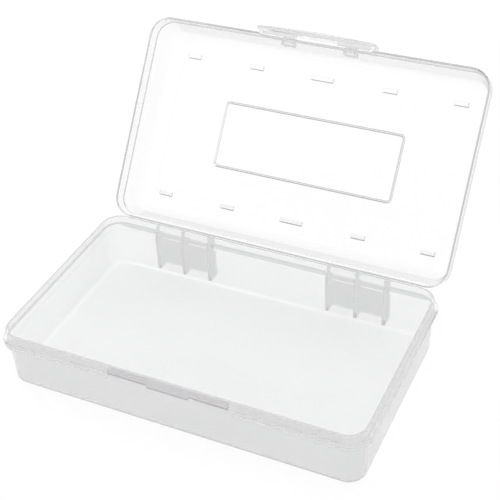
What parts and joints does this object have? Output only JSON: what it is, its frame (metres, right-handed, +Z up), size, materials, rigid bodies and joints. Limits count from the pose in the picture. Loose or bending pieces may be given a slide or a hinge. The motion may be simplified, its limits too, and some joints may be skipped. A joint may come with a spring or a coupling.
{
  "type": "pencil box",
  "caption": "Rectangular frosted plastic pencil box: a rounded tray with a domed clear lid on two rear snap hinges, and a swinging front latch that hooks under the tray's catch.",
  "frame": {"origin": "centre of the tray's flat underside, on the table", "axes": "+X along the box's length to the right, +Y to the back where the hinges are, +Z up"},
  "size_m": [0.2042, 0.2077, 0.1302],
  "materials": {
    "tray_plastic": "frosted translucent polypropylene, satin inside and out",
    "lid_plastic": "clear polypropylene with a smooth, slightly hazy surface",
    "latch_plastic": "clear polypropylene with a faint haze"
  },
  "bodies": {
    "tray": {"base_tray": "tray_plastic"},
    "lid": {"lid": "lid_plastic"},
    "latch": {"front_latch": "latch_plastic"}
  },
  "joints": [
    {"name": "lid_hinge", "type": "hinge", "parent": "tray", "child": "lid", "pos_m": [0, 0.061, 0.029], "axis": [1, 0, 0], "range_deg": [0, 126.6]},
    {"name": "latch_pivot", "type": "hinge", "parent": "lid", "child": "latch", "pos_m": [0, 0.14042, 0.1195], "axis": [-1, 0, 0], "range_deg": [0, 60]}
  ]
}
